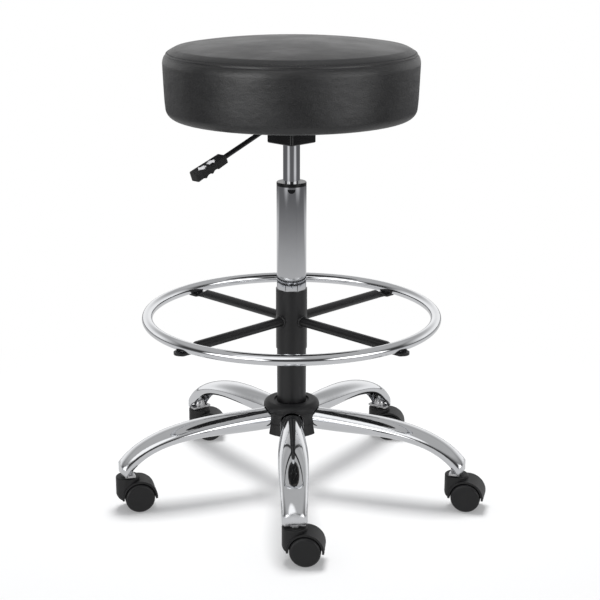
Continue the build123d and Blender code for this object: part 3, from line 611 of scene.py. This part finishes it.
def plastic_finish(name, tone, rough, texture):
    """Moulded plastic: fine spark texture, scuffs and a little dust."""
    material, pen = new_material(name)
    spark = noise(pen, scale=1900.0, detail=3.0, roughness=0.6)
    scuff = noise(pen, scale=75.0, detail=5.0, roughness=0.7).clip(0.6, 0.8)
    dust = noise(pen, scale=18.0, detail=3.0)
    principled(
        pen,
        base=(dust * 0.5 + scuff * 0.5).mix(rgba(tone, 0.8), rgba(tone, 1.8)),
        roughness=rough + 0.08 * dust + 0.06 * spark,
        normal=bumped(pen, spark, strength=texture, distance=0.0003),
        Specular_IOR_Level=0.38,
    )
    return material


def cloth_finish(name, tone, weave):
    """Woven or felted cloth: crossing threads and fuzz."""
    material, pen = new_material(name)
    place = pen.node("ShaderNodeTexCoord", output="Object")
    warp = pen.node("ShaderNodeTexWave", {"bands_direction": "X"}, {"Vector": place, "Scale": weave})
    weft = pen.node("ShaderNodeTexWave", {"bands_direction": "Y"}, {"Vector": place, "Scale": weave})
    fuzz = noise(pen, scale=700.0, detail=4.0)
    threads = warp * weft
    principled(
        pen,
        base=threads.mix(rgba(tone, 0.7), rgba(tone, 1.3)),
        roughness=0.8 + 0.1 * fuzz,
        normal=bumped(pen, threads + 0.5 * fuzz, strength=0.5, distance=0.0003),
    )
    return material


def board_finish():
    """Plywood: long grain with streaks of darker wood."""
    material, pen = new_material("seat_plywood")
    grain = noise(pen, scale=60.0, detail=6.0, roughness=0.6, stretch=(0.12, 1.0, 1.0))
    principled(
        pen,
        base=grain.mix((0.36, 0.24, 0.13, 1.0), (0.62, 0.47, 0.30, 1.0)),
        roughness=0.6 + 0.2 * grain,
        normal=bumped(pen, grain, strength=0.3, distance=0.0004),
    )
    return material


def make_finishes(tones):
    """Every finish of the stool, by the name of its slot in the record."""
    return {
        "vinyl": vinyl_finish(tones.vinyl),
        "foam": cloth_finish("seat_foam_skin", (0.62, 0.56, 0.38), weave=300.0),
        "board": board_finish(),
        "dust": cloth_finish("dust_cloth", (0.016, 0.016, 0.017), weave=260.0),
        "black_metal": paint_finish("gloss_black_coat", tones.paint, rough=0.16, peel=0.12),
        "satin_metal": paint_finish("satin_black_coat", tones.paint, rough=0.3, peel=0.2),
        "chrome": chrome_finish(tones.chrome),
        "steel": steel_finish("ground_steel", (0.56, 0.56, 0.57), rough=0.24, grain=700.0),
        "zinc": steel_finish("zinc_plate", (0.62, 0.63, 0.64), rough=0.3, grain=300.0),
        "black_plastic": plastic_finish("moulded_black", tones.plastic, rough=0.42, texture=0.3),
        "gloss_black": plastic_finish("gloss_bush", tones.plastic, rough=0.12, texture=0.05),
        "nylon": plastic_finish("wheel_nylon", tones.plastic, rough=0.36, texture=0.18),
        "rubber": plastic_finish("stop_rubber", tones.plastic, rough=0.6, texture=0.4),
    }


def finish(name):
    """A material that the finishes step has made."""
    return bpy.data.materials[name]


# Operators


class STOOL_OT_finishes(bpy.types.Operator):
    """Give every node of the frame the finish of its slot"""

    bl_idname = "stool.finishes"
    bl_label = "Finishes"

    def execute(self, context):
        finishes = make_finishes(context.scene.stool_finish)
        slots = {entry["node"]: entry["material_slot"] for entry in frame["record"]["subparts"]}
        for name, node in NODES.items():
            node.data.materials.clear()
            node.data.materials.append(finishes[slots[name]])
        return {"FINISHED"}


class STOOL_OT_seat(bpy.types.Operator):
    """Padded seat: a crowned pad blown up as cloth, with its seam and a row of stitches"""

    bl_idname = "stool.seat"
    bl_label = "Padded Seat"

    def execute(self, context):
        seat = context.scene.stool_seat
        profile, seam = seat_profile(seat, 0.0)
        along = path_lengths(profile)
        grid = turned(profile, SEAT_COLUMNS)
        grid = self.swollen(context, seat, grid, int(np.argmin(np.abs(along - seam))))
        grid = self.sewn(seat, grid, along - seam)
        pad = add_piece("seat_pad", surface("seat_pad", grid), "seat", finish("seat_vinyl"))
        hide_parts("seat_cover", "seat_foam")
        row = int(np.argmin(np.abs(along - seam + seat.stitch_offset)))
        mesh = surface("seat_stitches", self.stitches(seat, grid[row], grid_normals(grid)[row]))
        add_piece("seat_stitches", mesh, "seat", thread_finish(context.scene.stool_finish.thread))
        return {"FINISHED"}

    def swollen(self, context, seat, grid, seam_row):
        """The grid moved along its normals by puff * smoothstep(rise).

        Puff is how much further cloth pressure swells a smaller pad there than at its seam, evened out and levelled
        off by tanh. Rise goes from 0 at the underside to 1 above the rounded foot.
        """
        small = turned(seat_profile(seat, seat.swell)[0], PAD_COLUMNS)
        blown = blow_up(context, surface("pad_start", small), 2 * seat.swell)
        before = bpy.data.objects.new("pad_grid", surface("pad_grid", grid, merge=False))
        context.scene.collection.objects.link(before)
        wrap = before.modifiers.new("wrap", "SHRINKWRAP")
        wrap.target = blown
        moved = evaluated_points(context, before).reshape(grid.shape)
        for scratch in (before, blown):
            bpy.data.objects.remove(scratch)
        normals = grid_normals(grid)
        shift = np.sum((moved - grid) * normals, axis=-1)
        for _ in range(SMOOTHING_ROUNDS):
            shift = (shift + np.roll(shift, 1, axis=1) + np.roll(shift, -1, axis=1)) / 3
            inner = (shift[:-2] + shift[1:-1] + shift[2:]) / 3
            shift = np.concatenate([shift[:1], inner, shift[-1:]])
        beyond = shift - shift[seam_row].mean()
        puff = PUFF_SHARE * seat.swell * np.tanh(beyond / (PUFF_EASE * seat.swell))
        rise = np.clip((grid[..., 2] - COVER_LOW.z) / (2 * seat.foot_round), 0.0, 1.0)
        return grid + normals * (puff * rise * rise * (3 - 2 * rise))[..., None]

    def sewn(self, seat, grid, offset):
        """Push the seam in as a narrow valley, raise the welt above it, dip the row of stitches and gather the hem.

        Each of the first three is a bell curve exp(-(distance / width)^2) across the seam; the dip also waves once
        for each stitch. The hem's gathers are uneven waves sin(53 a + 1.3 sin 7 a) round the seat.
        """
        valley = -seat.seam_depth * np.exp(-((offset / seat.seam_width) ** 2))
        middle = offset + seat.stitch_offset / 2
        welt = 0.35 * seat.seam_depth * np.exp(-((middle / (seat.stitch_offset / 2.6)) ** 2))
        row = offset + seat.stitch_offset
        angle = np.arange(grid.shape[1]) * TURN / grid.shape[1]
        dimple = 0.7 + 0.3 * np.cos(stitch_count(seat) * angle)
        dip = -0.4 * seat.seam_depth * np.exp(-((row / (0.7 * seat.seam_width)) ** 2))
        push = (valley + welt)[:, None] + dip[:, None] * dimple[None, :]
        hem = np.clip((offset - GATHER_START) / GATHER_FADE, 0.0, 1.0)
        hem = hem * (grid[:, 0, 2] < COVER_LOW.z + GATHER_HEIGHT)
        waves = np.sin(53 * angle + 1.3 * np.sin(7 * angle)) * (0.6 + 0.4 * np.sin(5 * angle))
        push = push + hem[:, None] * (GATHER_DEPTH * waves[None, :] - GATHER_TUCK)
        return grid + grid_normals(grid) * push[..., None]

    def stitches(self, seat, ring, normals):
        """Capsules laid end to end round the ring.

        Along each, t goes from -1 to 1: its girth is thread * sqrt(1 - t^4), and its middle lies
        thread * (0.55 - 1.3 t^4) above the cover, so that its ends dip in.
        """
        count = stitch_count(seat)
        angle = np.arange(count) * TURN / count
        turn = np.arange(len(ring) + 1) * TURN / len(ring)
        ring = np.concatenate([ring, ring[:1]])
        normals = np.concatenate([normals, normals[:1]])
        centre = np.stack([np.interp(angle, turn, ring[:, axis]) for axis in range(3)], axis=-1)
        out = np.stack([np.interp(angle, turn, normals[:, axis]) for axis in range(3)], axis=-1)
        run = np.stack([-np.sin(angle), np.cos(angle), 0 * angle], axis=-1)
        side = np.cross(out, run)
        step = np.linspace(-1.0, 1.0, STITCH_ROWS)
        girth = seat.thread * np.sqrt(1.0 - step**4)
        lift = seat.thread * (0.55 - 1.3 * step**4)
        about = np.arange(STITCH_COLUMNS) * TURN / STITCH_COLUMNS
        rise = lift[:, None] + girth[:, None] * np.sin(about)
        spread = girth[:, None] * np.cos(about)
        reach = np.broadcast_to(step[:, None] * seat.stitch_length / 2, rise.shape)
        return laid(centre, (run, out, side), (reach, rise, spread))


class STOOL_OT_underside(bpy.types.Operator):
    """Dust cloth stretched under the seat, and the staples that hold it and the cover's hem"""

    bl_idname = "stool.underside"
    bl_label = "Seat Underside"

    def execute(self, context):
        edge = DUST_HIGH.x - SKIN
        points = self.cloth_grid(edge)
        mesh = surface("dust_cloth", points[::-1])
        cloth = add_piece("dust_cloth", mesh, "seat", finish("dust_cloth"))
        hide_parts("dust_cover")
        mesh = surface("hem_staples", self.staples(STAPLE_COUNT, edge + STAPLE_OFFSET))
        add_piece("hem_staples", mesh, "seat", finish("zinc_plate"))
        return {"FINISHED"}

    def cloth_grid(self, edge):
        """A disc that sags by SAG * slack * (1 + 0.5 sin 18 a + 0.3 sin(7 a + 1)), slack between plate and edge."""
        reach = np.linspace(0.0, edge, CLOTH_ROWS)[:, None]
        angle = np.arange(CLOTH_COLUMNS)[None, :] * TURN / CLOTH_COLUMNS
        slack = np.clip((reach - SLACK_START) / SLACK_RISE, 0, 1) * np.clip((edge - reach) / SLACK_FALL, 0, 1)
        sag = SAG * slack * (1 + 0.5 * np.sin(18 * angle) + 0.3 * np.sin(7 * angle + 1))
        height = (DUST_LOW.z + DUST_HIGH.z) / 2 - sag
        return np.stack([reach * np.cos(angle), reach * np.sin(angle), height], axis=-1)

    def staples(self, count, reach):
        """Flat wires round a circle, each turned a little its own way; their ends bend up by STAPLE_DROP * t^12."""
        number = np.arange(count)
        angle = (number + 0.18 * np.sin(2.3 * number)) * TURN / count
        yaw = angle + 0.35 * np.sin(1.7 * number)
        level = 0 * angle
        centre = np.stack([reach * np.cos(angle), reach * np.sin(angle), level + COVER_LOW.z - SKIN], axis=-1)
        run = np.stack([-np.sin(yaw), np.cos(yaw), level], axis=-1)
        side = np.stack([np.cos(yaw), np.sin(yaw), level], axis=-1)
        step = np.array([-1.0, -0.98, -0.9, -0.4, 0.4, 0.9, 0.98, 1.0])
        girth = STAPLE_WIRE * (np.abs(step) < 1.0)
        drop = STAPLE_DROP * np.abs(step) ** 12
        about = np.arange(STAPLE_COLUMNS) * TURN / STAPLE_COLUMNS
        spread = girth[:, None] * np.cos(about)
        rise = drop[:, None] + 0.7 * girth[:, None] * np.sin(about)
        along = np.broadcast_to(step[:, None] * STAPLE_HALF, rise.shape)
        return laid(centre, (run, side, np.broadcast_to(UP, run.shape)), (along, spread, rise))


class STOOL_OT_welds(bpy.types.Operator):
    """Weld beads where the spokes of the foot ring meet the column"""

    bl_idname = "stool.welds"
    bl_label = "Spoke Welds"

    def execute(self, context):
        bead = self.bead(SPOKE_RADIUS + WELD_MARGIN)
        turns = [math.radians(SPOKE_TURN + number * 360 / SPOKE_COUNT) for number in range(SPOKE_COUNT)]
        beads = np.stack([spun(bead, turn) for turn in turns])
        mesh = surface("spoke_welds", beads)
        add_piece("spoke_welds", mesh, "base", finish("satin_black_coat"))
        return {"FINISHED"}

    def bead(self, radius):
        """A tube along the line where a bar meets the socket: x = sqrt(socket^2 - y^2), y^2 + z^2 = radius^2."""
        angle = np.arange(WELD_STEPS + 1) * TURN / WELD_STEPS
        across = radius * np.cos(angle)
        away = np.sqrt(SOCKET_RADIUS**2 - across**2) + WELD_LIFT
        path = np.stack([away, across, SPOKE_HEIGHT + radius * np.sin(angle)], axis=-1)
        ripple = WELD_RADIUS + WELD_SCALE * np.abs(np.sin(13 * angle)) + WELD_WANDER * np.sin(3 * angle)
        return tube(path, ripple, WELD_COLUMNS, np.array([1.0, 0.0, 0.0]))


class STOOL_OT_marks(bpy.types.Operator):
    """Two plain arrows on top of the lever's handle, for up and down"""

    bl_idname = "stool.marks"
    bl_label = "Handle Marks"

    def execute(self, context):
        out = np.array([math.cos(LEVER_TURN), math.sin(LEVER_TURN), 0.0])
        along = out * math.cos(LEVER_DROOP) - UP * math.sin(LEVER_DROOP)
        up = out * math.sin(LEVER_DROOP) + UP * math.cos(LEVER_DROOP)
        side = np.cross(up, along)
        root = out * HANDLE_REACH + UP * HANDLE_HEIGHT + up * HANDLE_TOP
        middle = MILLIMETRE * np.array(ARROW_MIDDLE)
        outline = MILLIMETRE * np.array(ARROW) - middle
        arrow = middle + np.array([0.0, 1.0, 1.0, 0.0])[:, None, None] * outline
        height = ARROW_HALF * np.array([1.0, 1.0, -1.0, -1.0])[:, None, None] * up
        arrows = [
            root + height + (reach + turn * arrow[..., :1]) * along + arrow[..., 1:] * side
            for reach, turn in ARROWS
        ]
        tone = context.scene.stool_finish.mark
        material = plastic_finish("handle_mark", tone, rough=0.4, texture=0.1)
        mesh = surface("handle_marks", np.stack(arrows))
        add_piece("handle_marks", mesh, "lever", material)
        return {"FINISHED"}


class STOOL_OT_stage(bpy.types.Operator):
    """Floor, soft light and the camera at the photograph's angle"""

    bl_idname = "stool.stage"
    bl_label = "Stage"

    def execute(self, context):
        stage = context.scene.stool_stage
        floor = self.add_floor(context, stage)
        self.add_world(context)
        self.add_lamps(context, floor)
        view = bpy.data.cameras.new("view")
        view.lens = stage.lens
        view.sensor_width = SENSOR
        view.shift_x = stage.shift
        camera = bpy.data.objects.new("view", view)
        camera.location = stage.eye
        camera.rotation_euler = Euler((stage.pitch, 0.0, 0.0))
        context.scene.collection.objects.link(camera)
        context.scene.camera = camera
        context.scene.view_settings.view_transform = "Standard"
        return {"FINISHED"}

    def add_floor(self, context, stage):
        """A plain pale floor that keeps the stool's shadow and turns to plain white further off.

        To shiny surfaces it glows as painted light: a pale sheet on a darker floor, with a glowing patch brighter
        than white towards each side panel.
        """
        reach = np.linspace(-stage.floor_size, stage.floor_size, 3)
        across, away = np.meshgrid(reach, reach, indexing="ij")
        points = np.stack([across, away, 0 * across], axis=-1)
        floor = bpy.data.objects.new("floor", surface("floor", points, wrap=False))
        context.scene.collection.objects.link(floor)
        material, pen = new_material("pale_floor")
        place = pen.node("ShaderNodeTexCoord", output="Object")
        distance = pen.node("ShaderNodeVectorMath", {"operation": "LENGTH"}, {0: place}, output="Value")
        sideways = pen.node("ShaderNodeSeparateXYZ", inputs={0: place}, output="X")
        forward = pen.node("ShaderNodeSeparateXYZ", inputs={0: place}, output="Y")
        rear = forward.clip(*REAR_START) * (1.0 - distance.clip(*REAR_END))
        tone = SHEET_TONE * pen.math("MAXIMUM", 1.0 - distance.clip(*SHEET), rear)
        patches = []
        for across_way, away_way in SIDE_WAYS:
            along = sideways * across_way + forward * away_way
            aside = pen.math("ABSOLUTE", sideways * away_way - forward * across_way)
            patches.append(along.clip(*PATCH_START) * (1.0 - aside.clip(*PATCH_EDGE)))
        patch = pen.math("MAXIMUM", *patches)
        camera = pen.node("ShaderNodeLightPath", output="Is Camera Ray")
        glossy = pen.node("ShaderNodeLightPath", output="Is Glossy Ray")
        through = pen.node("ShaderNodeLightPath", output="Is Transmission Ray")
        mirrored = pen.math("MAXIMUM", glossy, through)
        shade = pen.math("MAXIMUM", tone, camera)
        lit = shade.mix(DARK_FLOOR, rgba(stage.floor))
        light = pen.node("ShaderNodeBsdfDiffuse", inputs={"Color": lit})
        bright = distance.clip(*PATCH_RISE).mix(GREY_GLOW_PATCH, BRIGHT_GLOW_PATCH)
        # Painted reflection: to shiny surfaces the floor glows with the sheet and the bright patches, which no lamp
        # lights.
        glow = patch.mix(tone.mix(DARK_FLOOR, rgba(stage.floor)), bright)
        white = pen.node("ShaderNodeEmission", inputs={"Color": camera.mix(glow, WHITE)})
        plain = PLAIN_LEAST + (1.0 - PLAIN_LEAST) * distance.clip(*LIT_FLOOR)
        bare = camera * plain + mirrored * MIRRORED_GLOW_SHARE
        shader = pen.node("ShaderNodeMixShader", inputs={0: bare, 1: light, 2: white})
        output(pen, shader)
        floor.data.materials.append(material)
        return floor

    def add_world(self, context):
        """White to the camera; to shiny surfaces a white wall behind, a grey ceiling and panels in a dark room."""
        world = bpy.data.worlds.new("room")
        world.use_nodes = True
        world.node_tree.nodes.clear()
        pen = Socket(world.node_tree)
        camera_ray = pen.node("ShaderNodeLightPath", output="Is Camera Ray")
        glossy_ray = pen.node("ShaderNodeLightPath", output="Is Glossy Ray")
        through_ray = pen.node("ShaderNodeLightPath", output="Is Transmission Ray")
        way = pen.node("ShaderNodeTexCoord", output="Generated")
        behind = pen.node("ShaderNodeSeparateXYZ", inputs={0: way}, output="Y").clip(*WALL_WAY)
        height = pen.node("ShaderNodeSeparateXYZ", inputs={0: way}, output="Z")
        wall_light = behind * (1.0 - WALL_FALL * height.clip(*WALL_TOP))
        ceiling = CEILING * height.clip(*CEILING_WAY)
        backdrop = pen.math("MAXIMUM", wall_light, ceiling)
        for facing, strength in PANELS:
            inputs = {0: way, 1: facing}
            towards = pen.node("ShaderNodeVectorMath", {"operation": "DOT_PRODUCT"}, inputs, output="Value")
            backdrop = pen.math("MAXIMUM", backdrop, towards.clip(*PANEL_EDGE) * strength)
        level = camera_ray + (1.0 - camera_ray) * (DARKEST + (1.0 - DARKEST) * backdrop)
        wall = pen.node("ShaderNodeBackground", inputs={"Color": WHITE, "Strength": level})
        room = pen.node("ShaderNodeBackground", inputs={"Color": ROOM, "Strength": ROOM_STRENGTH})
        plain = pen.math("MAXIMUM", camera_ray, pen.math("MAXIMUM", glossy_ray, through_ray))
        shader = pen.node("ShaderNodeMixShader", inputs={0: plain, 1: room, 2: wall})
        pen.node("ShaderNodeOutputWorld", inputs={"Surface": shader})
        context.scene.world = world

    def add_lamps(self, context, floor):
        """Two tall soft lamps that light the stool alone, and one overhead that casts the base's shadow alone."""
        stool_alone = bpy.data.collections.new("no_floor")
        stool_alone.objects.link(floor)
        stool_alone.collection_objects[0].light_linking.link_state = "EXCLUDE"
        shading = bpy.data.collections.new("leg_shade")
        for name, node in NODES.items():
            if name.startswith(SHADED):
                shading.objects.link(node)
        for name, place, size, power in LAMPS:
            lamp = bpy.data.lights.new(name, "AREA")
            lamp.shape = "RECTANGLE"
            lamp.size, lamp.size_y = size
            lamp.energy = power
            thing = bpy.data.objects.new(name, lamp)
            thing.location = place
            thing.visible_glossy = False
            thing.rotation_euler = (AIM - Vector(place)).to_track_quat("-Z", "Y").to_euler()
            context.scene.collection.objects.link(thing)
            if name == "lamp_top":
                thing.light_linking.blocker_collection = shading
            else:
                thing.light_linking.receiver_collection = stool_alone


SETTINGS = {"stool_seat": StoolSeat, "stool_finish": StoolFinish, "stool_stage": StoolStage}
STEPS = (
    STOOL_OT_finishes,
    STOOL_OT_seat,
    STOOL_OT_underside,
    STOOL_OT_welds,
    STOOL_OT_marks,
    STOOL_OT_stage,
)


class STOOL_PT_panel(bpy.types.Panel):
    """Settings and steps of the stool"""

    bl_idname = "STOOL_PT_panel"
    bl_label = "Drafting Stool"
    bl_space_type = "VIEW_3D"
    bl_region_type = "UI"
    bl_category = "Stool"

    def draw(self, context):
        for name, group in SETTINGS.items():
            box = self.layout.box()
            for setting in group.__annotations__:
                box.prop(getattr(context.scene, name), setting)
        for step in STEPS:
            self.layout.operator(step.bl_idname)


def register():
    """Add the settings, the steps and the panel to Blender."""
    for group in SETTINGS.values():
        bpy.utils.register_class(group)
    for name, group in SETTINGS.items():
        setattr(bpy.types.Scene, name, bpy.props.PointerProperty(type=group))
    for step in (*STEPS, STOOL_PT_panel):
        bpy.utils.register_class(step)


def unregister():
    """Take the panel, the steps and the settings out again."""
    for step in (STOOL_PT_panel, *reversed(STEPS)):
        bpy.utils.unregister_class(step)
    for name in SETTINGS:
        delattr(bpy.types.Scene, name)
    for group in SETTINGS.values():
        bpy.utils.unregister_class(group)


def main():
    """Register the add-on and dress the stool."""
    register()
    for step in STEPS:
        group, name = step.bl_idname.split(".")
        getattr(getattr(bpy.ops, group), name)()


if __name__ == "__main__":
    main()
